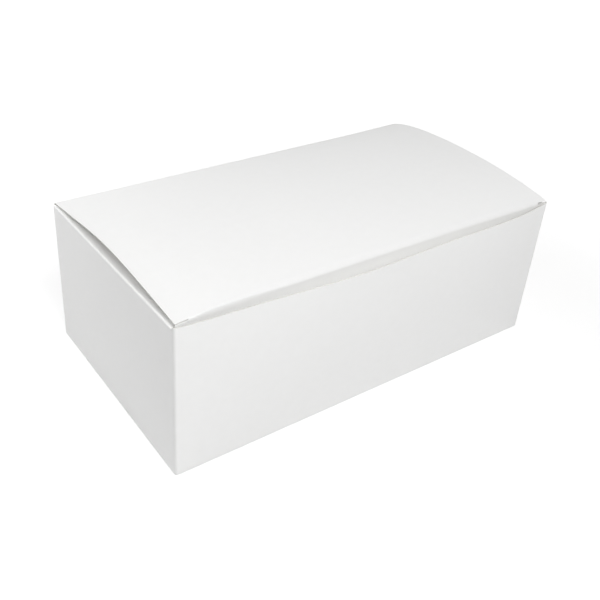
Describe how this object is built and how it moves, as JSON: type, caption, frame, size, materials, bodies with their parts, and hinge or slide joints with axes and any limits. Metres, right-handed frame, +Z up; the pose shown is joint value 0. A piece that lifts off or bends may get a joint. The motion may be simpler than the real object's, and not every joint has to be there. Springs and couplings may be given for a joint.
{
  "type": "takeout food box",
  "caption": "White paperboard takeout box with an arched lid that turns on a rear crease and tucks in behind a bowed front wall; holds a hot meal.",
  "frame": {"origin": "on the table, in the middle of the box's outline seen from above, with the front wall's bulge counted in", "axes": "+X along the long front wall, to the right when facing it; +Y from the front wall to the hinged back; +Z up"},
  "size_m": [0.225, 0.1302, 0.0886],
  "materials": {
    "white_board": "white coated paperboard, smooth with a faint sheen"
  },
  "bodies": {
    "carton": {"carton": "white_board"},
    "lid": {"lid": "white_board"}
  },
  "joints": [
    {"name": "lid_hinge", "type": "hinge", "parent": "carton", "child": "lid", "pos_m": [0, 0.06514, 0.08], "axis": [-1, 0, 0], "range_deg": [0, 215]}
  ]
}
